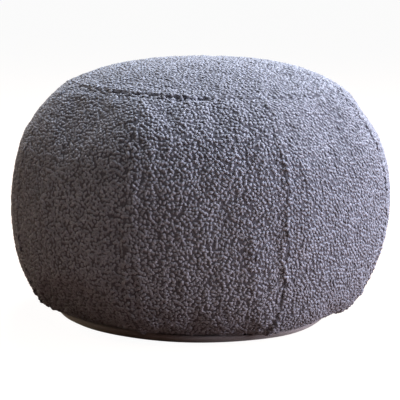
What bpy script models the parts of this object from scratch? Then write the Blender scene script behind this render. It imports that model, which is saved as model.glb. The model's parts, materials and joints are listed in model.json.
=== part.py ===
"""Boucle pouf: a round floor cushion sewn from eight boucle side panels, a round boucle top panel and a
plain base cloth, and packed firm.

Each panel is modelled with the stuffing behind it, like a segment of an orange, so that the panels
together are one filled cushion. +Z is up, the pouf stands on Z = 0, its front is towards -Y, and an
azimuth is measured from the front towards +X. Metres throughout; sizes reach the tips of the pile.
"""

import math
from collections import namedtuple

import bmesh
import bpy
from mathutils import Vector

# Size of the stuffed pouf
DIAMETER = 0.560
HEIGHT = 0.380
RADIUS = DIAMETER / 2
WIDEST_Z = 0.171
FOOT_RADIUS = 0.184

# The crown: how square its curve is, and the side on which the stuffing makes it fuller
CROWN_POWER = 2.2
FULL_SIDE = math.radians(80)
FULL_BY = 0.004

# The two halves of the side: where the seam lies, how far the curve reaches and how square it is
Half = namedtuple("Half", "seam_z seam_radius reach power")
UPPER = Half(seam_z=0.345, seam_radius=0.201, reach=0.252, power=2.36)
LOWER = Half(seam_z=0.012, seam_radius=0.212, reach=0.165, power=2.24)

# Seams: how deep each pulls the cloth in, and how far from the stitching the pull is felt
Seam = namedtuple("Seam", "depth reach")
SIDE_SEAM = Seam(depth=0.0010, reach=0.006)
TOP_SEAM = Seam(depth=0.0038, reach=0.012)
BASE_SEAM = Seam(depth=0.0030, reach=0.014)

# Where the top and base seams are pulled to: outwards and upwards
TOP_PULL = Vector((-0.60, -0.80))
BASE_PULL = Vector((-0.45, 0.893))

# Both seams lie lower on the right, because the pouf has settled unevenly
TOP_LEAN = math.radians(1.6)
BASE_LEAN = math.radians(1.1)

# Side panels. Each lies flatter than the round, so its edges stand out and its seams are soft corners,
# which fade out near the top and base seams
PANELS = 8
PANEL_ANGLE = 2 * math.pi / PANELS
FIRST_SEAM = math.radians(-20.5)
CORNER_HEIGHT = 0.0080
CORNER_FADE = 0.032

# Hollows and fuller places in the stuffing: the middle, the half-widths, and the push outwards there
Settling = namedtuple("Settling", "azimuth_deg height wide_deg tall push")
SETTLINGS = (
    Settling(azimuth_deg=26, height=0.090, wide_deg=8, tall=0.060, push=-0.0040),
    Settling(azimuth_deg=32, height=0.215, wide_deg=6, tall=0.070, push=0.0025),
    Settling(azimuth_deg=15, height=0.270, wide_deg=7, tall=0.060, push=0.0022),
    Settling(azimuth_deg=-9, height=0.150, wide_deg=12, tall=0.080, push=0.0022),
    Settling(azimuth_deg=-92, height=0.225, wide_deg=30, tall=0.050, push=-0.0025),
    Settling(azimuth_deg=-88, height=0.305, wide_deg=24, tall=0.022, push=-0.0015),
    Settling(azimuth_deg=86, height=0.300, wide_deg=26, tall=0.018, push=-0.0045),
    Settling(azimuth_deg=86, height=0.338, wide_deg=26, tall=0.014, push=0.0045),
    Settling(azimuth_deg=82, height=0.055, wide_deg=30, tall=0.068, push=-0.0090),
    Settling(azimuth_deg=38, height=0.014, wide_deg=17, tall=0.030, push=0.0085),
    Settling(azimuth_deg=-28, height=0.014, wide_deg=22, tall=0.024, push=-0.0055),
    Settling(azimuth_deg=128, height=0.110, wide_deg=16, tall=0.060, push=0.0030),
    Settling(azimuth_deg=163, height=0.245, wide_deg=13, tall=0.065, push=-0.0030),
    Settling(azimuth_deg=214, height=0.130, wide_deg=15, tall=0.070, push=0.0030),
    Settling(azimuth_deg=247, height=0.235, wide_deg=14, tall=0.060, push=-0.0025),
)

# Fineness of the meshes. Rows and columns crowd towards the seams, where the cloth turns most
PANEL_COLUMNS = 12
PANEL_ROWS = 22
ROUND_COLUMNS = 96
CROWN_ROWS = 11
FOOT_ROWS = 5
CROWDING = 0.75
CROWN_CROWDING = 1.5
SLOPE_STEP = 0.001
MERGE_DISTANCE = 0.00002
SHARP_ANGLE = math.radians(40)

# Neighbouring panels stand this far apart
SEWING_GAP = 0.0003


def linear(hex_colour):
    """The linear RGBA of an sRGB hex colour."""
    channels = [int(hex_colour[i : i + 2], 16) / 255 for i in (1, 3, 5)]
    curved = [c / 12.92 if c <= 0.04045 else ((c + 0.055) / 1.055) ** 2.4 for c in channels]
    return (*curved, 1)


def cloth_material(name, hex_colour, roughness):
    material = bpy.data.materials.new(name)
    material.use_nodes = True
    shader = material.node_tree.nodes["Principled BSDF"]
    shader.inputs["Base Color"].default_value = linear(hex_colour)
    shader.inputs["Roughness"].default_value = roughness
    shader.inputs["Metallic"].default_value = 0
    material.diffuse_color = linear(hex_colour)
    return material


def crowd_ends(share):
    """Takes an even share from 0 to 1, and crowds the shares towards both ends."""
    return share - CROWDING * math.sin(2 * math.pi * share) / (2 * math.pi)


def settling(azimuth, height):
    """How far the uneven stuffing pushes the side out at one place."""
    total = 0
    for s in SETTLINGS:
        turn = (math.degrees(azimuth) - s.azimuth_deg + 180) % 360 - 180
        total += s.push * math.exp(-((turn / s.wide_deg) ** 2) - ((height - s.height) / s.tall) ** 2)
    return total


def side_radius(azimuth, height):
    """Radius of the side before its seams pull it in: a superellipse arc above the widest height and
    another below it, each through its own seam."""
    half = UPPER if height >= WIDEST_Z else LOWER

    def drawn_in(rise):
        return 1 - (1 - (rise / half.reach) ** half.power) ** (1 / half.power)

    share = drawn_in(abs(height - WIDEST_Z)) / drawn_in(abs(half.seam_z - WIDEST_Z))
    return RADIUS - (RADIUS - half.seam_radius) * share + settling(azimuth, height)


def seam_point(azimuth, half, lean):
    """Radius and height of the top or base seam, which lies in a plane that leans down towards +X."""
    radius = half.seam_radius
    height = half.seam_z
    for _ in range(4):
        height = half.seam_z - radius * math.sin(azimuth) * math.tan(lean)
        radius = side_radius(azimuth, height)
    return Vector((radius, height))


def pull(seam, distance):
    """Depth of a seam's valley at a distance from its stitching."""
    return seam.depth * max(0, 1 - distance / seam.reach) ** 2


def side_point(azimuth, level, to_seam):
    """Radius and height on a side panel. The level is 0 at the base seam and 1 at the top seam, and
    to_seam is the angle to the nearer side seam."""
    low = seam_point(azimuth, LOWER, BASE_LEAN)
    high = seam_point(azimuth, UPPER, TOP_LEAN)
    height = low.y + (high.y - low.y) * crowd_ends(level)
    point = Vector((side_radius(azimuth, height), height))
    above = side_radius(azimuth, height + SLOPE_STEP)
    below = side_radius(azimuth, height - SLOPE_STEP)
    inward = Vector((-2 * SLOPE_STEP, above - below)).normalized()
    from_low = (point - low).length
    from_high = (point - high).length
    fade = min(1, from_low / CORNER_FADE, from_high / CORNER_FADE)
    corner = CORNER_HEIGHT * (1 - to_seam / (PANEL_ANGLE / 2)) ** 2
    point += inward * fade * (pull(SIDE_SEAM, point.x * to_seam) - corner)
    point += TOP_PULL * pull(TOP_SEAM, from_high)
    point += BASE_PULL * pull(BASE_SEAM, from_low)
    return point


def crown_point(azimuth, level):
    """Radius and height on the top panel. The level is 0 at its seam and 1 in the middle. The crown is
    fullest two thirds of the way out, on its fuller side."""
    seam = seam_point(azimuth, UPPER, TOP_LEAN)
    across = 1 - level**CROWN_CROWDING
    middle = HEIGHT - 2 * SEWING_GAP
    drop = (middle - seam.y) * across**CROWN_POWER
    bulge = across**2 * (1 - across) * 27 / 4
    full = FULL_BY * bulge * max(0, math.cos(azimuth - FULL_SIDE)) ** 2
    point = Vector((seam.x * across, middle - drop + full))
    return point + TOP_PULL * pull(TOP_SEAM, (point - seam).length)


def foot_point(azimuth, level):
    """Radius and height on the base cloth, which turns up from the floor at 0 to the base seam at 1."""
    seam = seam_point(azimuth, LOWER, BASE_LEAN) + BASE_PULL * BASE_SEAM.depth
    turn = level * math.pi / 2
    return Vector((FOOT_RADIUS + (seam.x - FOOT_RADIUS) * math.sin(turn), seam.y * (1 - math.cos(turn))))


def drum(columns, rows, start, angle):
    """A drum of radius 1 and height 1, or a slice of one, spun from a section with rows up its side."""
    bm = bmesh.new()
    section = [(0, 0)] + [(1, row / rows) for row in range(rows + 1)] + [(0, 1)]
    corners = [bm.verts.new((out * math.sin(start), -out * math.cos(start), up)) for out, up in section]
    outline = [bm.edges.new(ends) for ends in zip(corners, corners[1:])]
    whole = math.isclose(angle, 2 * math.pi)
    bmesh.ops.spin(
        bm,
        geom=outline if whole else [bm.faces.new(corners)],
        cent=(0, 0, 0),
        axis=(0, 0, 1),
        angle=angle,
        steps=columns,
        use_merge=whole,
        use_duplicate=False,
    )
    return bm


def shape(bm, side_at, low_middle, high_middle):
    """Moves a drum's points: side_at(azimuth, level) places those on its side, and the two heights
    place the middles of its ends."""
    for vert in bm.verts:
        level = vert.co.z
        if vert.co.xy.length < 0.5:
            vert.co = (0, 0, high_middle if level > 0.5 else low_middle)
            continue
        azimuth, radius, height = side_at(math.atan2(vert.co.x, -vert.co.y), level)
        vert.co = (radius * math.sin(azimuth), -radius * math.cos(azimuth), height)


def finish(bm, name, material, offset):
    """Turns a shaped drum into a closed object with smooth shading."""
    bmesh.ops.translate(bm, verts=bm.verts, vec=offset)
    bmesh.ops.remove_doubles(bm, verts=bm.verts, dist=MERGE_DISTANCE)
    bmesh.ops.recalc_face_normals(bm, faces=bm.faces)
    mesh = bpy.data.meshes.new(name)
    bm.to_mesh(mesh)
    bm.free()
    mesh.shade_smooth()
    mesh.set_sharp_from_angle(angle=SHARP_ANGLE)
    mesh.materials.append(material)
    obj = bpy.data.objects.new(name, mesh)
    bpy.context.scene.collection.objects.link(obj)
    return obj


def low_cut():
    """Height at the axis of the cut between the base cloth and the side panels."""
    return LOWER.seam_z + BASE_PULL.y * BASE_SEAM.depth


def high_cut():
    """Height at the axis of the cut between the side panels and the top panel."""
    return UPPER.seam_z + TOP_PULL.y * TOP_SEAM.depth


def side_panel(number, material):
    """One boucle side panel with its stuffing, between two upright cuts that meet at the axis."""
    start = FIRST_SEAM + (number - 1) * PANEL_ANGLE
    middle = start + PANEL_ANGLE / 2

    def side_at(azimuth, level):
        along = ((azimuth - middle + math.pi) % (2 * math.pi) - math.pi) / PANEL_ANGLE + 0.5
        azimuth = start + crowd_ends(along) * PANEL_ANGLE
        to_seam = PANEL_ANGLE / 2 - abs(azimuth - middle)
        return (azimuth, *side_point(azimuth, level, to_seam))

    bm = drum(PANEL_COLUMNS, PANEL_ROWS, start, PANEL_ANGLE)
    shape(bm, side_at, low_cut(), high_cut())
    apart = SEWING_GAP / 2 / math.sin(PANEL_ANGLE / 2)
    offset = (apart * math.sin(middle), -apart * math.cos(middle), SEWING_GAP)
    return finish(bm, f"side_panel_{number}", material, offset)


def top_panel(material):
    """The round boucle top panel: a low crown over a flat underside."""
    bm = drum(ROUND_COLUMNS, CROWN_ROWS, FIRST_SEAM, 2 * math.pi)
    middle = HEIGHT - 2 * SEWING_GAP
    shape(bm, lambda azimuth, level: (azimuth, *crown_point(azimuth, level)), high_cut(), middle)
    return finish(bm, "top_panel", material, (0, 0, 2 * SEWING_GAP))


def base_panel(material):
    """The plain base cloth: flat on the floor, and turned up to the base seam all round."""
    bm = drum(ROUND_COLUMNS, FOOT_ROWS, FIRST_SEAM, 2 * math.pi)
    shape(bm, lambda azimuth, level: (azimuth, *foot_point(azimuth, level)), 0, low_cut())
    return finish(bm, "base_panel", material, (0, 0, 0))


def centre_over_origin(objects):
    """Slides the whole pouf so that its bounding box is centred on the origin, seen from above."""
    points = [vert.co for obj in objects for vert in obj.data.vertices]
    x_values = [point.x for point in points]
    y_values = [point.y for point in points]
    shift = Vector((min(x_values) + max(x_values), min(y_values) + max(y_values), 0)) / 2
    for obj in objects:
        for vert in obj.data.vertices:
            vert.co -= shift


def build_pouf():
    for obj in list(bpy.data.objects):
        bpy.data.objects.remove(obj)
    boucle = cloth_material("boucle", "#6F6E79", roughness=0.95)
    base_cloth = cloth_material("base_cloth", "#A6A0A6", roughness=0.85)
    pieces = [side_panel(number, boucle) for number in range(1, PANELS + 1)]
    pieces += [top_panel(boucle), base_panel(base_cloth)]
    centre_over_origin(pieces)


build_pouf()
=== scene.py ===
# %% [markdown]
# A boucle pouf
#
# The pouf is a fabric drum that is packed until it bulges. A maker cuts eight upright side panels and a
# round top panel from boucle, sews them together inside out, closes the bottom with a disc of plain
# cloth and fills the cover until every panel is tight. Two things make it look the way it does: the
# seams, which hold the cloth back while the panels swell between them, and the pile, which is
# thousands of little curls of yarn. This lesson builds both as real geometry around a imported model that
# already holds the ten panels at their real size.

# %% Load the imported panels
import json
import math

import bmesh
import bpy
from mathutils import Matrix, Vector, noise
from mathutils.bvhtree import BVHTree
from mathutils.kdtree import KDTree

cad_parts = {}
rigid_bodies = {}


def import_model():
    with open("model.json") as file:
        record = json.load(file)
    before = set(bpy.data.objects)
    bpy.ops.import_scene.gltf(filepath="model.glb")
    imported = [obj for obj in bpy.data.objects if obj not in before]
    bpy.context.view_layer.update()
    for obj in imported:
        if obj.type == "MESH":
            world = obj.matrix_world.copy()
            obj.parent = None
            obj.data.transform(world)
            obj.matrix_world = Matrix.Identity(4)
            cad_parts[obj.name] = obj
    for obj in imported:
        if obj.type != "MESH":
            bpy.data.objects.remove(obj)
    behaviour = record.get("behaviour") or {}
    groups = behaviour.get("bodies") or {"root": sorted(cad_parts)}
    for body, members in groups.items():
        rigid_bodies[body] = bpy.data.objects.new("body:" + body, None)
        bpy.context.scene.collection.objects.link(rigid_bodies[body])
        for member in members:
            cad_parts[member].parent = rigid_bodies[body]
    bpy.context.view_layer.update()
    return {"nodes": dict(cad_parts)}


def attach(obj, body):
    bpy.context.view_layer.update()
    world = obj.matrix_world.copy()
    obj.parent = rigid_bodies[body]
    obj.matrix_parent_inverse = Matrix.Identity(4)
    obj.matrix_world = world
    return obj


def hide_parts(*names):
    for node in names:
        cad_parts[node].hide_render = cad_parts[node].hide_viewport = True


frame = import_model()
MM = 0.001
side_names = sorted(name for name in frame["nodes"] if name.startswith("side_panel"))
boucle_names = side_names + ["top_panel"]

# %% [markdown]
# The camera
#
# The photograph was taken with a long lens from just above the pouf's top. The angle between the top
# seam's front and its ends gives the tilt, and how much the pouf narrows with distance gives the lens.
# A camera that is right at the start saves work, because every later picture can be laid beside the
# photograph.

# %% Set up the camera
CAMERA_DISTANCE = 2.097
CAMERA_HEIGHT = 0.542
CAMERA_TILT = math.radians(10.13)
FOCAL_PX = 1424
PHOTO_PX = 400
SENSOR_MM = 36

scene = bpy.context.scene
camera = bpy.data.objects.new("camera", bpy.data.cameras.new("camera"))
camera.data.sensor_width = SENSOR_MM
camera.data.lens = SENSOR_MM * FOCAL_PX / PHOTO_PX
camera.location = (0, -CAMERA_DISTANCE, CAMERA_HEIGHT)
camera.rotation_euler = (math.pi / 2 - CAMERA_TILT, 0, 0)
scene.collection.objects.link(camera)
scene.camera = camera
print("lens in mm:", round(camera.data.lens))

# %% [markdown]
# One skin round all the panels
#
# Cloth only wrinkles if it is one connected sheet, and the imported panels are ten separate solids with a
# hair's breadth between them. A voxel remesh fuses them: it samples the space they fill on a fine
# grid and wraps one even mesh round it. The even squares suit a cloth simulation, which behaves
# oddly on long thin faces. A little smoothing takes the steps of the grid away.

# %% Fuse the panels into one skin
VOXEL = 7.5 * MM
SMOOTHINGS = 4
SAME_POINT = 0.05 * MM


def new_object(name, mesh):
    """Puts a mesh in the scene as an object at the origin."""
    obj = bpy.data.objects.new(name, mesh)
    scene.collection.objects.link(obj)
    return obj


def baked_mesh(obj):
    """A copy of the mesh that an object's modifiers make."""
    graph = bpy.context.evaluated_depsgraph_get()
    return bpy.data.meshes.new_from_object(obj.evaluated_get(graph), depsgraph=graph)


def merged_copy(name):
    """A bmesh of a packed panel, with its loose triangles joined."""
    bm = bmesh.new()
    bm.from_mesh(frame["nodes"][name].data)
    bmesh.ops.remove_doubles(bm, verts=bm.verts, dist=SAME_POINT)
    return bm


def fused_skin():
    """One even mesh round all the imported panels."""
    bm = bmesh.new()
    for node in frame["nodes"].values():
        bm.from_mesh(node.data)
    mesh = bpy.data.meshes.new("all_panels")
    bm.to_mesh(mesh)
    bm.free()
    obj = new_object("all_panels", mesh)
    remesh = obj.modifiers.new("Fuse", "REMESH")
    remesh.mode = "VOXEL"
    remesh.voxel_size = VOXEL
    smooth = obj.modifiers.new("Even out", "SMOOTH")
    smooth.iterations = SMOOTHINGS
    fused = baked_mesh(obj)
    bpy.data.objects.remove(obj)
    return new_object("skin", fused)


skin = fused_skin()
print("skin:", len(skin.data.vertices), "points", len(skin.data.polygons), "faces")

# %% [markdown]
# Where the seams run
#
# A point on a seam is equally near two panels, so the distance to the second nearest panel is
# the distance to the seam. That one number is used three times: to hold the seams in the
# simulation, to lift the cloth a little beside a seam, where the turned edges of the panels lie
# under it, and to set the size of the curls there.

# %% Measure the distance to the nearest seam
trees = {}
for name, node in frame["nodes"].items():
    node.data.calc_loop_triangles()
    points = [vert.co for vert in node.data.vertices]
    trees[name] = BVHTree.FromPolygons(points, [tri.vertices for tri in node.data.loop_triangles])


def to_seam(point):
    """Distance from a point of the surface to the nearest seam."""
    distances = sorted(tree.find_nearest(point)[3] for tree in trees.values())
    return distances[1]


def smooth_step(value, low, high):
    """0 below low, 1 above high and a soft curve between them."""
    share = min(1, max(0, (value - low) / (high - low)))
    return share * share * (3 - 2 * share)


skin_to_seam = [to_seam(vert.co) for vert in skin.data.vertices]
print("points within 10 mm of a seam:", sum(distance < 10 * MM for distance in skin_to_seam))

# %% [markdown]
# Stuffing the cover
#
# Real panels are cut a little too big, so that the filling can push them out. The simulation does the
# same: the cloth grows by two percent while a pressure inside pushes it out, and the stitched
# seams stay where they are. The spare cloth has to go somewhere, and it makes the soft puckers
# that run away from every seam. Gravity is off, because the filling carries the cloth.

# %% Let the cloth swell between its seams
SEAM_HOLD = 3 * MM
SEAM_FREE = 16 * MM
SPARE_CLOTH = 0.02
PRESSURE = 1.5
SOLVER_STEPS = 6
POINT_MASS = 0.4
STRETCH_STIFFNESS = 20
SHEAR_STIFFNESS = 8
BENDING_STIFFNESS = 0.5
FRAMES = 20


def stuff(obj, seam_distances):
    """Runs the cloth simulation, and returns how far each point moved."""
    rest = [vert.co.copy() for vert in obj.data.vertices]
    group = obj.vertex_groups.new(name="seams")
    for index, distance in enumerate(seam_distances):
        group.add([index], 1 - smooth_step(distance, SEAM_HOLD, SEAM_FREE), "REPLACE")
    cloth = obj.modifiers.new("Stuffing", "CLOTH")
    cloth.settings.quality = SOLVER_STEPS
    cloth.settings.mass = POINT_MASS
    cloth.settings.tension_stiffness = STRETCH_STIFFNESS
    cloth.settings.compression_stiffness = STRETCH_STIFFNESS
    cloth.settings.shear_stiffness = SHEAR_STIFFNESS
    cloth.settings.bending_stiffness = BENDING_STIFFNESS
    cloth.settings.use_pressure = True
    cloth.settings.uniform_pressure_force = PRESSURE
    cloth.settings.shrink_min = -SPARE_CLOTH
    cloth.settings.vertex_group_mass = "seams"
    cloth.settings.effector_weights.gravity = 0
    cloth.collision_settings.use_collision = False
    for number in range(1, FRAMES + 1):
        scene.frame_set(number)
    stuffed = baked_mesh(obj)
    moves = [after.co - before for after, before in zip(stuffed.vertices, rest)]
    obj.modifiers.remove(cloth)
    scene.frame_set(1)
    return moves


skin_moves = [Vector((0, 0, 0)) for vert in skin.data.vertices]
skin_moves = stuff(skin, skin_to_seam)
lengths = sorted(move.length for move in skin_moves)
print("swell in mm, median and most:", lengths[len(lengths) // 2] / MM, lengths[-1] / MM)

# %% [markdown]
# Creases
#
# Sitting and handling leave soft creases that no simulation would put in the right place. Each row of
# the tables is one trough or ridge between two places on the side, given by azimuth from the front and
# by height. Its last two numbers are how far it reaches to each side and how far it pushes the cloth
# out, so a trough has a minus. The long ones follow the seams, because a seam gives the cloth a line to
# fold along. Most are only one or two millimetres deep: a low side light makes even those visible.
# Between them, a noise that is stretched upwards gives the faint upright ripples of cloth that hangs
# from its top seam.

# %% Place the creases
CREASE_KEYS = ("start_deg", "start_mm", "end_deg", "end_mm", "wide_mm", "push_mm")
RIGHT_SEAM_CREASES = [
    (28.3, 316, 27.4, 289, 6, -0.8),
    (27.2, 277, 25.5, 220, 4, -0.8),
    (25.5, 271, 24.6, 219, 5, 1.2),
    (29.6, 263, 33.8, 209, 8, 0.9),
    (23.8, 190, 24.2, 166, 6, 1.5),
    (18.3, 186, 19.2, 162, 6, -0.8),
    (20.9, 157, 22.4, 112, 7, -1.3),
    (22.6, 147, 23.9, 110, 5, 1.5),
    (25.4, 104, 26.9, 73, 6, 1.2),
    (23.7, 106, 24.7, 78, 4, -1.8),
    (24.7, 78, 24.2, 50, 4, -2.0),
    (24.2, 50, 22.3, 19, 4, -2.6),
    (14.5, 166, 16.1, 93, 8, 2.0),
    (19.7, 132, 19.2, 98, 6, -0.7),
    (5.0, 300, 6.0, 250, 24, 1.0),
]
LEFT_SEAM_CREASES = [
    (-20.9, 341, -20.0, 313, 6, -1.4),
    (-20.8, 313, -20.8, 180, 5, -1.1),
    (-17.8, 300, -17.6, 185, 9, 1.5),
    (-16.4, 300, -13.0, 254, 8, 0.7),
    (-18.9, 185, -18.6, 122, 9, 1.6),
    (-22.3, 181, -21.8, 125, 6, -1.0),
    (-18.4, 117, -19.2, 60, 5, -1.8),
    (-16.0, 113, -17.0, 50, 8, 1.4),
    (-12.4, 185, -11.9, 153, 6, -1.0),
]
LEFT_SIDE_CREASES = [
    (-54.4, 249, -51.9, 217, 7, -2.0),
    (-50.3, 194, -49.3, 155, 9, 2.0),
    (-42.2, 260, -37.1, 231, 8, -1.2),
]
TOP_SEAM_CREASES = [
    (-57, 345, -20, 344, 4, -1.2),
    (-20, 344, -8, 343, 4, -2.4),
    (-8, 343, 3, 343, 5, -3.4),
    (-60, 352, -12, 350, 8, 1.8),
]
BEADS = 40

skin_surface = BVHTree.FromPolygons(
    [vert.co for vert in skin.data.vertices], [face.vertices for face in skin.data.polygons])


def on_side(degrees, height):
    """The point of the skin at an azimuth and a height in millimetres."""
    out = Vector((math.sin(math.radians(degrees)), -math.cos(math.radians(degrees)), 0))
    return skin_surface.ray_cast(out + Vector((0, 0, height * MM)), -out)[0]


creases = []
for row in RIGHT_SEAM_CREASES + LEFT_SEAM_CREASES + LEFT_SIDE_CREASES + TOP_SEAM_CREASES:
    crease = dict(zip(CREASE_KEYS, row))
    line = KDTree(BEADS)
    for bead in range(BEADS):
        share = bead / (BEADS - 1)
        degrees = crease["start_deg"] + (crease["end_deg"] - crease["start_deg"]) * share
        height = crease["start_mm"] + (crease["end_mm"] - crease["start_mm"]) * share
        line.insert(on_side(degrees, height), bead)
    line.balance()
    creases.append((line, crease["wide_mm"] * MM, crease["push_mm"] * MM))


RIPPLE_WIDE = 14 * MM
RIPPLE_TALL = 75 * MM
RIPPLE_DEEP = 1.3 * MM


def crease_push(point):
    """How far the creases and ripples push a point outwards."""
    folds = sum(push * math.exp(-(line.find(point)[2] / wide) ** 2) for line, wide, push in creases)
    place = Vector((point.x / RIPPLE_WIDE, point.y / RIPPLE_WIDE, point.z / RIPPLE_TALL))
    return folds + RIPPLE_DEEP * noise.noise(place)


print("creases:", len(creases))

# %% [markdown]
# The cloth of each panel
#
# The skin has now told how the cloth swells, and the panels follow it. Each packed panel is copied and
# its outer faces are split finely. Their points take on the swell of the skin next to them and the push
# of the creases, less the height of the pile, because the curls will stand on this cloth and their tips
# have to end at the size that was measured. A cap on the swell keeps the cover the size that it was
# cut. The inner faces stay plain. They close each panel to a solid segment, like a slice of an orange.
# The panel also keeps what the pile needs to know: which faces are outside, and how near each point is
# to a seam.

# %% Shape the panels
PILE = 4.4 * MM
SEAM_CROWD = 7 * MM
SEAM_RISE = 0.5
MOST_SWELL = 5 * MM
OUTER_DEPTH = 12 * MM
FACING_OUT = 0.35
QUAD_BEND = 0.3
QUAD_SKEW = 0.6
CUTS = 2
NEIGHBOURS = 10

skin_tree = KDTree(len(skin.data.vertices))
for vert in skin.data.vertices:
    skin_tree.insert(vert.co, vert.index)
skin_tree.balance()
skin_normals = [vert.normal.copy() for vert in skin.data.vertices]


def on_skin(point):
    """The smoothed outward direction and the swell of the skin next to a point."""
    normal = Vector((0, 0, 0))
    swell = Vector((0, 0, 0))
    total = 0
    for _, index, distance in skin_tree.find_n(point, NEIGHBOURS):
        weight = 1 / (distance + MM)
        normal += skin_normals[index] * weight
        swell += skin_moves[index] * weight
        total += weight
    swell /= total
    limit = MOST_SWELL / (MOST_SWELL + swell.length)
    return normal.normalized(), swell * limit


def is_outer(face):
    """Whether a face of a packed panel is part of the pouf's outside."""
    middle = face.calc_center_median()
    normal, _ = on_skin(middle)
    near = skin_tree.find(middle)[2] < OUTER_DEPTH
    return near and face.normal.dot(normal) > FACING_OUT


def panel_cloth(name):
    """The filled panel under its pile."""
    bm = merged_copy(name)
    outer = [face for face in bm.faces if is_outer(face)]
    bmesh.ops.join_triangles(
        bm, faces=outer, angle_face_threshold=QUAD_BEND, angle_shape_threshold=QUAD_SKEW)
    outside = bm.faces.layers.bool.new("outside")
    for face in bm.faces:
        face[outside] = is_outer(face)
    edges = [edge for edge in bm.edges if any(face[outside] for face in edge.link_faces)]
    bmesh.ops.subdivide_edges(bm, edges=edges, cuts=CUTS, use_grid_fill=True)
    seam = bm.verts.layers.float.new("seam_distance")
    outer_points = [vert for vert in bm.verts if any(face[outside] for face in vert.link_faces)]
    for vert in outer_points:
        vert[seam] = to_seam(vert.co)
        normal, swell = on_skin(vert.co)
        crowded = 1 - smooth_step(vert[seam], 0, SEAM_CROWD)
        vert.co += swell + normal * (crease_push(vert.co) - PILE * (1 - SEAM_RISE * crowded))
    mesh = bpy.data.meshes.new(name)
    bm.to_mesh(mesh)
    bm.free()
    mesh.shade_smooth()
    return new_object("boucle_" + name, mesh)


cloths = {name: panel_cloth(name) for name in boucle_names}
for name, cloth in cloths.items():
    print(name, len(cloth.data.polygons), "faces")

# %% [markdown]
# One curl of yarn
#
# Boucle is woven with a fancy yarn: one strand is fed too fast and is caught by a thin binder, so it
# stands off the cloth in small loops. On a coarse upholstery boucle each loop is a fat little curl,
# 5 to 8 mm long. Here a curl is a short square tube, spun round an axis, with pointed ends and a
# raised middle. It is pressed a little flat, as use leaves it, and sunk into the cloth, so that it
# shows no gap under it. It is also turned to lie along X, which is the axis that the pile will aim.
# Shading it smooth rounds it. It has 32 triangles, because it is repeated by the thousand. Four curls
# of different bend and thickness are enough for the eye to see no copy.

# %% Model four curls
CURL_STEPS = 3
CURL_SIDES = 4
LEAST_WIDTH = 0.66
BLUNT_END = 0.12
POINT_LENGTH = 0.55
ANGLE_SLACK = 0.01
SINK = 0.6
PRESSED = 0.64
CURL_KINDS = [
    {"radius": 2.00 * MM, "thick": 2.40 * MM, "turn": 2.4, "rise": 0.7 * MM},
    {"radius": 1.50 * MM, "thick": 2.55 * MM, "turn": 3.1, "rise": 0.6 * MM},
    {"radius": 2.80 * MM, "thick": 2.25 * MM, "turn": 1.9, "rise": 0.9 * MM},
    {"radius": 1.70 * MM, "thick": 2.35 * MM, "turn": 3.8, "rise": 0.5 * MM},
]


def curl_mesh(name, radius, thick, turn, rise):
    """A bent and pointed bit of yarn whose middle stands up."""
    bm = bmesh.new()
    stand_up = Matrix.Translation((radius, 0, 0)) @ Matrix.Rotation(math.pi / 2, 4, "X")
    bmesh.ops.create_circle(bm, segments=CURL_SIDES, radius=thick, matrix=stand_up)
    ring = bm.edges[:]
    bmesh.ops.spin(bm, geom=ring, axis=(0, 0, 1), cent=(0, 0, 0), angle=turn, steps=CURL_STEPS)
    open_edges = [edge for edge in bm.edges if edge.is_boundary]
    ends = bmesh.ops.holes_fill(bm, edges=open_edges)["faces"]
    tips = bmesh.ops.poke(bm, faces=ends)["verts"]
    for vert in bm.verts:
        angle = math.atan2(vert.co.y, vert.co.x) % (2 * math.pi)
        along = angle / turn if angle <= turn + ANGLE_SLACK else 0
        centre = Vector((radius * math.cos(angle), radius * math.sin(angle), 0))
        belly = math.sin(math.pi * (BLUNT_END + (1 - 2 * BLUNT_END) * along))
        width = LEAST_WIDTH + (1 - LEAST_WIDTH) * belly
        vert.co = centre + (vert.co - centre) * width
        vert.co.z += rise * math.sin(math.pi * along)
        if vert in tips:
            onward = Vector((-math.sin(angle), math.cos(angle), 0)) * (1 if along > 0.5 else -1)
            vert.co += onward * thick * POINT_LENGTH
    low = min(vert.co.z for vert in bm.verts)
    high = max(vert.co.z for vert in bm.verts)
    middle = sum((vert.co for vert in bm.verts), Vector()) / len(bm.verts)
    # The height share is kept for the material, which paints shade on the low part of each curl by it.
    height = bm.verts.layers.float.new("tip")
    for vert in bm.verts:
        vert[height] = (vert.co.z - low) / (high - low)
        vert.co -= Vector((middle.x, middle.y, low))
        vert.co.z = PRESSED * vert.co.z - SINK * thick
    lengthwise = Matrix.Rotation(-(turn + math.pi) / 2, 3, "Z")
    bmesh.ops.rotate(bm, verts=bm.verts, matrix=lengthwise)
    bmesh.ops.recalc_face_normals(bm, faces=bm.faces)
    mesh = bpy.data.meshes.new(name)
    bm.to_mesh(mesh)
    bm.free()
    mesh.shade_smooth()
    return mesh


curls = bpy.data.collections.new("curls")
for number, kind in enumerate(CURL_KINDS):
    mesh = curl_mesh("curl_" + str(number), **kind)
    curls.objects.link(bpy.data.objects.new(mesh.name, mesh))
    mesh.calc_loop_triangles()
    size = curls.objects[number].dimensions / MM
    print(mesh.name, len(mesh.loop_triangles), "triangles,", [round(side, 1) for side in size], "mm")

# %% [markdown]
# The pile
#
# Geometry Nodes can cover a surface with copies in one step. The points are spread by Poisson discs,
# which keep every two points at least a set distance apart: that gives the even but unordered look of
# boucle, where a plain random spread would leave bald spots and heaps. Each point gets one of the
# curls, tilted a little. On the panel to the right of the front one they lie along a slant, down to the
# right, as brushed cloth does. On the other panels they lean that way only faintly. Next to a seam
# they are up to a quarter larger, because the stitches bulge them and they have to close the gap
# between two panels. The copies are made real, so that each panel is one mesh.

# %% Lay out the nodes of the pile
CURL_SPACING = 3.75 * MM
TRIES_PER_M2 = 200000
TILT = 0.25
SMALLEST_CURL = 0.8
LARGEST_CURL = 1.15
SEAM_CURL = 1.25
SEAM_FADE = 7 * MM
SLANT_RIGHT = 0.75
SLANT_UP = -0.66


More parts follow.
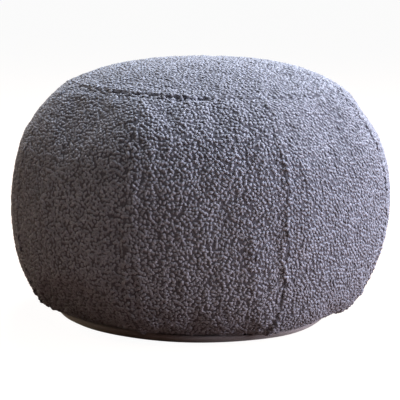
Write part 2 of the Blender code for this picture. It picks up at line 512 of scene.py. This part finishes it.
def add_node(tree, kind, inputs=None, **settings):
    """Adds a node, with its settings, and the values or links of its inputs."""
    node = tree.nodes.new(kind)
    for key, value in settings.items():
        setattr(node, key, value)
    for key, value in (inputs or {}).items():
        if isinstance(value, bpy.types.NodeSocket):
            tree.links.new(value, node.inputs[key])
        else:
            node.inputs[key].default_value = value
    return node


def pile_tree(seed, swing):
    """Geometry nodes that cover the outside of a panel with curls, each turned from the slant by up
    to the swing."""
    tree = bpy.data.node_groups.new("pile", "GeometryNodeTree")
    tree.interface.new_socket("Geometry", in_out="INPUT", socket_type="NodeSocketGeometry")
    tree.interface.new_socket("Geometry", in_out="OUTPUT", socket_type="NodeSocketGeometry")
    cloth = add_node(tree, "NodeGroupInput").outputs[0]
    outside = add_node(tree, "GeometryNodeInputNamedAttribute", {"Name": "outside"}, data_type="BOOLEAN")
    seam = add_node(tree, "GeometryNodeInputNamedAttribute", {"Name": "seam_distance"})
    points = add_node(tree, "GeometryNodeDistributePointsOnFaces", {
        "Mesh": cloth, "Selection": outside.outputs[0], "Distance Min": CURL_SPACING,
        "Density Max": TRIES_PER_M2, "Seed": seed}, distribute_method="POISSON")
    nearness = add_node(tree, "ShaderNodeMapRange", {
        "Value": seam.outputs[0], "From Max": SEAM_FADE, "To Min": SEAM_CURL})
    size = add_node(tree, "FunctionNodeRandomValue", {2: SMALLEST_CURL, 3: LARGEST_CURL, "Seed": seed})
    scale = add_node(tree, "ShaderNodeMath", {0: size.outputs[1], 1: nearness.outputs[0]},
                     operation="MULTIPLY")
    pick = add_node(tree, "FunctionNodeRandomValue", {4: 0, 5: len(CURL_KINDS) - 1, "Seed": seed + 1},
                    data_type="INT")
    kinds = add_node(tree, "GeometryNodeCollectionInfo", {
        "Collection": curls, "Separate Children": True, "Reset Children": True})
    right = add_node(tree, "ShaderNodeVectorMath", {
        0: (0, 0, SLANT_RIGHT), 1: points.outputs["Normal"]}, operation="CROSS_PRODUCT")
    slant = add_node(tree, "ShaderNodeVectorMath", {
        0: right.outputs[0], 1: (0, 0, SLANT_UP)}, operation="ADD")
    lie = add_node(tree, "FunctionNodeAlignRotationToVector", {
        "Rotation": points.outputs["Rotation"], "Vector": slant.outputs[0]}, axis="X", pivot_axis="Z")
    copies = add_node(tree, "GeometryNodeInstanceOnPoints", {
        "Points": points.outputs["Points"], "Instance": kinds.outputs[0], "Pick Instance": True,
        "Instance Index": pick.outputs[2], "Rotation": lie.outputs[0], "Scale": scale.outputs[0]})
    turn = add_node(tree, "FunctionNodeRandomValue", {
        0: (-TILT, -TILT, -swing), 1: (TILT, TILT, swing), "Seed": seed + 2}, data_type="FLOAT_VECTOR")
    turned = add_node(tree, "GeometryNodeRotateInstances", {
        "Instances": copies.outputs[0], "Rotation": turn.outputs[0]})
    shade = add_node(tree, "FunctionNodeRandomValue", {"Seed": seed + 3})
    toned = add_node(tree, "GeometryNodeStoreNamedAttribute", {
        "Geometry": turned.outputs[0], "Name": "tone", "Value": shade.outputs[1]}, domain="INSTANCE")
    real = add_node(tree, "GeometryNodeRealizeInstances", {"Geometry": toned.outputs[0]})
    both = add_node(tree, "GeometryNodeJoinGeometry", {"Geometry": cloth})
    tree.links.new(real.outputs[0], both.inputs[0])
    add_node(tree, "NodeGroupOutput", {0: both.outputs[0]})
    return tree


print("pile:", len(CURL_KINDS), "kinds of curl,", CURL_SPACING / MM, "mm apart or more")

# %% Grow the pile on the panels
BRUSHED_SWING = 0.8
FREE_SWING = 1.7
SEEDS_PER_PANEL = 10


def grow_pile(cloth, seed, swing):
    """Replaces a panel's mesh by the same panel with its curls."""
    pile = cloth.modifiers.new("Pile", "NODES")
    pile.node_group = pile_tree(seed, swing)
    mesh = baked_mesh(cloth)
    cloth.modifiers.remove(pile)
    cloth.data = mesh


for number, name in enumerate(boucle_names):
    swing = BRUSHED_SWING if name == "side_panel_2" else FREE_SWING
    grow_pile(cloths[name], SEEDS_PER_PANEL * number, swing)
for obj in list(curls.objects):
    bpy.data.objects.remove(obj)
bpy.data.collections.remove(curls)


def triangles(obj):
    """How many triangles an object's mesh has."""
    obj.data.calc_loop_triangles()
    return len(obj.data.loop_triangles)


for name, cloth in cloths.items():
    print(name, triangles(cloth), "triangles")
print("all panels:", sum(triangles(cloth) for cloth in cloths.values()), "triangles")

# %% [markdown]
# The base cloth
#
# The bottom is a disc of plain tight cloth. It is cut larger than the flat that the pouf stands on, and
# is pulled up round the edge to meet the boucle, so it shows as a thin strip along the lower edge.
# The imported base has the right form, so its copy is only shaded smooth.

# %% Make the base cloth
SHARP_EDGE = math.radians(40)


def base_cloth():
    """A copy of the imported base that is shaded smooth, but for its sharp edges."""
    bm = merged_copy("base_panel")
    mesh = bpy.data.meshes.new("base_cloth")
    bm.to_mesh(mesh)
    bm.free()
    mesh.shade_smooth()
    mesh.set_sharp_from_angle(angle=SHARP_EDGE)
    return new_object("base_cloth", mesh)


base = base_cloth()
print("base cloth:", triangles(base), "triangles")

# %% [markdown]
# Boucle yarn
#
# The yarn is a soft wool and acrylic blend, spun with a slub and piece dyed a cool grey. It has no
# gloss: light goes in between the fibres and comes out evenly, and a faint sheen of fibre ends lights
# up where the surface turns away. Each curl is painted darker towards its root, and the bare cloth
# between the curls takes that darker colour whole: this is painted shade, for the shadow deep in the
# pile.
# Each curl took the dye a little differently, and the colour also drifts by a few percent from one
# hand's breadth to the next. Real fibres are far too fine to show from two metres, so their flecks are
# drawn 1.4 mm wide.

# %% Choose the yarn's colours
YARN_TIP = "9697A6"
# The root colour is painted shade: it darkens the low part of each curl and the bare cloth between them.
YARN_ROOT_PAINTED_SHADE = "6A6976"


def linear(hex_code):
    """Turns an sRGB hex value to the linear colour that shaders use."""
    channels = [int(hex_code[start:start + 2], 16) / 255 for start in (0, 2, 4)]
    return [*(c / 12.92 if c <= 0.04045 else ((c + 0.055) / 1.055) ** 2.4 for c in channels), 1]


print("yarn from root to tip, linear:", linear(YARN_ROOT_PAINTED_SHADE), linear(YARN_TIP))

# %% Boucle material
TIP_FROM = 0.7
CLOUD_MM = 70
CLOUD_CONTRAST = 0.05
DYE_CONTRAST = 0.18
FIBRE_MM = 1.4
FLECK_CONTRAST = 0.4
NOISE_LOW = 0.3
NOISE_HIGH = 0.7


def new_material(name):
    """An empty material with a shader and its output."""
    material = bpy.data.materials.new(name)
    material.use_nodes = True
    tree = material.node_tree
    tree.nodes.clear()
    shader = add_node(tree, "ShaderNodeBsdfPrincipled")
    add_node(tree, "ShaderNodeOutputMaterial", {"Surface": shader.outputs[0]})
    return material, tree, shader


def boucle_material():
    """Matt yarn with painted shade at the roots, with clouds, dye differences and fibre flecks."""
    material, tree, shader = new_material("wool_blend_boucle_piece_dyed")
    place = add_node(tree, "ShaderNodeTexCoord").outputs["Object"]
    tip = add_node(tree, "ShaderNodeAttribute", attribute_name="tip")
    tone = add_node(tree, "ShaderNodeAttribute", attribute_name="tone")
    # Painted shade: the low part of each curl, and the cloth, which has no tip value, take the darker
    # root colour.
    painted_root_shade_mask = add_node(tree, "ShaderNodeMapRange", {"Value": tip.outputs["Fac"], "From Max": TIP_FROM})
    yarn = add_node(tree, "ShaderNodeMix", {
        0: painted_root_shade_mask.outputs[0], 6: linear(YARN_ROOT_PAINTED_SHADE), 7: linear(YARN_TIP)}, data_type="RGBA")
    clouds = add_node(tree, "ShaderNodeTexNoise", {"Vector": place, "Scale": 1 / (CLOUD_MM * MM)})
    cloud_value = add_node(tree, "ShaderNodeMapRange", {
        "Value": clouds.outputs[0], "From Min": NOISE_LOW, "From Max": NOISE_HIGH,
        "To Min": 1 - CLOUD_CONTRAST, "To Max": 1 + CLOUD_CONTRAST})
    tone_value = add_node(tree, "ShaderNodeMapRange", {
        "Value": tone.outputs["Fac"], "To Min": 1 - DYE_CONTRAST, "To Max": 1 + DYE_CONTRAST})
    value = add_node(tree, "ShaderNodeMath", {
        0: cloud_value.outputs[0], 1: tone_value.outputs[0]}, operation="MULTIPLY")
    fibres = add_node(tree, "ShaderNodeTexNoise", {
        "Vector": place, "Scale": 1 / (FIBRE_MM * MM), "Detail": 3})
    fleck = add_node(tree, "ShaderNodeMapRange", {
        "Value": fibres.outputs[0], "From Min": NOISE_LOW, "From Max": NOISE_HIGH,
        "To Min": 1 - FLECK_CONTRAST, "To Max": 1 + FLECK_CONTRAST})
    flecked = add_node(tree, "ShaderNodeMath", {
        0: value.outputs[0], 1: fleck.outputs[0]}, operation="MULTIPLY")
    dyed = add_node(tree, "ShaderNodeHueSaturation", {
        "Value": flecked.outputs[0], "Color": yarn.outputs[2]})
    fuzz = add_node(tree, "ShaderNodeBump", {
        "Strength": 0.5, "Distance": 0.5 * MM, "Height": fibres.outputs[0]})
    tree.links.new(dyed.outputs[0], shader.inputs["Base Color"])
    tree.links.new(fuzz.outputs[0], shader.inputs["Normal"])
    shader.inputs["Roughness"].default_value = 1
    shader.inputs["Specular IOR Level"].default_value = 0.08
    shader.inputs["Sheen Weight"].default_value = 0.08
    shader.inputs["Sheen Roughness"].default_value = 0.5
    return material


boucle = boucle_material()
for cloth in cloths.values():
    cloth.data.materials.clear()
    cloth.data.materials.append(boucle)
print("material:", boucle.name)

# %% [markdown]
# A plain weave for the base
#
# The base is a plain weave of polyester, a light grey. Its smooth threads have a little more gloss and
# sheen than the boucle. It looks dark only because it faces down and gets no light but the floor's. Its
# threads are half a millimetre apart, too fine to show from two metres, so the weave is drawn with
# threads 1.5 mm apart. The wave texture runs through 20 radians for each unit of scaled length, and one
# full wave covers the repeat of the weave: a thread that goes over and one that goes under.

# %% Base material
BASE_COLOUR = "A6A0A6"
THREAD_MM = 1.5
THREADS_IN_REPEAT = 2
WAVE_RADIANS = 20


def base_material():
    """Light grey cloth with a fine crossed bump for its threads."""
    material, tree, shader = new_material("polyester_plain_weave")
    place = add_node(tree, "ShaderNodeTexCoord").outputs["Object"]
    repeat = THREADS_IN_REPEAT * THREAD_MM * MM
    weave = []
    for direction in ("X", "Y"):
        threads = add_node(tree, "ShaderNodeTexWave", {
            "Vector": place, "Scale": 2 * math.pi / (WAVE_RADIANS * repeat)}, bands_direction=direction)
        weave.append(threads.outputs["Fac"])
    height = add_node(tree, "ShaderNodeMath", {0: weave[0], 1: weave[1]}, operation="MULTIPLY")
    bump = add_node(tree, "ShaderNodeBump", {
        "Strength": 0.4, "Distance": 0.3 * MM, "Height": height.outputs[0]})
    shader.inputs["Base Color"].default_value = linear(BASE_COLOUR)
    tree.links.new(bump.outputs[0], shader.inputs["Normal"])
    shader.inputs["Roughness"].default_value = 0.85
    shader.inputs["Specular IOR Level"].default_value = 0.3
    shader.inputs["Sheen Weight"].default_value = 0.4
    shader.inputs["Sheen Roughness"].default_value = 0.4
    return material


base.data.materials.clear()
base.data.materials.append(base_material())
print("material:", base.data.materials[0].name)

# %% [markdown]
# Light
#
# The photograph is lit by a tall, mostly cool window on the right, by the bright ceiling above and
# behind the pouf and by weak light from the front and the left. Six soft discs stand for them: each is
# placed by its azimuth, from the front towards the right, and its elevation, and shines at the middle
# of the pouf.

# %% Set the light
LIGHT_AIM = Vector((0, 0, 0.2))
LIGHT_DISTANCE = 2.2
LIGHT_SIZE = 1.3
LIGHTS = [
    {"name": "window_back", "azimuth": 120, "elevation": 42, "power": 15, "hex_code": "FFFAE0"},
    {"name": "window_side", "azimuth": 90, "elevation": 42, "power": 48, "hex_code": "DAF0FF"},
    {"name": "window_low", "azimuth": 75, "elevation": 12, "power": 46, "hex_code": "FEF8FF"},
    {"name": "ceiling", "azimuth": 165, "elevation": 68, "power": 64, "hex_code": "F6F9F6"},
    {"name": "front_high", "azimuth": 20, "elevation": 42, "power": 9, "hex_code": "FFFBF0"},
    {"name": "left_fill", "azimuth": -110, "elevation": 12, "power": 17, "hex_code": "FFECCA"},
]


def soft_light(name, azimuth, elevation, power, hex_code):
    """A disc of light that faces the pouf from a direction in degrees."""
    light = bpy.data.lights.new(name, "AREA")
    light.shape = "DISK"
    light.size = LIGHT_SIZE
    light.energy = power
    light.color = linear(hex_code)[:3]
    turn = math.radians(azimuth)
    level = math.cos(math.radians(elevation))
    up = math.sin(math.radians(elevation))
    direction = Vector((level * math.sin(turn), -level * math.cos(turn), up))
    obj = bpy.data.objects.new(name, light)
    obj.location = LIGHT_AIM + direction * LIGHT_DISTANCE
    obj.rotation_euler = direction.to_track_quat("Z", "Y").to_euler()
    scene.collection.objects.link(obj)


for values in LIGHTS:
    soft_light(**values)
print("lights:", [values["name"] for values in LIGHTS])

# %% [markdown]
# Floor and backdrop
#
# The floor and the backdrop look white to the camera. All that the floor gives back to the pouf is a
# weak warm light, so the underside stays dark, as the photograph shows it. The backdrop is the world's
# colour, and it gives no light at all.

# %% Lay the floor and set the backdrop
FLOOR_COLOUR = "897063"
FLOOR_GLOW = 0.96
FLOOR_HALF = 24

world = bpy.data.worlds.new("studio")
world.use_nodes = True
world.node_tree.nodes.clear()
path = add_node(world.node_tree, "ShaderNodeLightPath")
backdrop = add_node(world.node_tree, "ShaderNodeBackground", {
    "Color": (1, 1, 1, 1), "Strength": path.outputs["Is Camera Ray"]})
add_node(world.node_tree, "ShaderNodeOutputWorld", {"Surface": backdrop.outputs[0]})
scene.world = world
scene.view_settings.view_transform = "Standard"


def studio_floor():
    """A wide pale floor that glows for the camera alone."""
    bm = bmesh.new()
    bmesh.ops.create_grid(bm, x_segments=1, y_segments=1, size=FLOOR_HALF)
    mesh = bpy.data.meshes.new("floor")
    bm.to_mesh(mesh)
    bm.free()
    floor = new_object("floor", mesh)
    material, tree, shader = new_material("pale_floor")
    path = add_node(tree, "ShaderNodeLightPath")
    glow = add_node(tree, "ShaderNodeMath", {
        0: path.outputs["Is Camera Ray"], 1: FLOOR_GLOW}, operation="MULTIPLY")
    tree.links.new(glow.outputs[0], shader.inputs["Emission Strength"])
    shader.inputs["Base Color"].default_value = linear(FLOOR_COLOUR)
    shader.inputs["Roughness"].default_value = 1
    shader.inputs["Specular IOR Level"].default_value = 0
    shader.inputs["Emission Color"].default_value = (1, 1, 1, 1)
    mesh.materials.append(material)
    return floor


floor = studio_floor()
print("floor, in metres each way:", [round(side) for side in floor.dimensions])

# %% [markdown]
# Tie the pieces to the imported model
#
# Every piece stands for one packed panel and rides on the same body, and the imported panel that it
# replaces is hidden.

bpy.data.objects.remove(skin)
for name, cloth in cloths.items():
    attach(cloth, "root")
    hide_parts(name)
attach(base, "root")
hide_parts("base_panel")
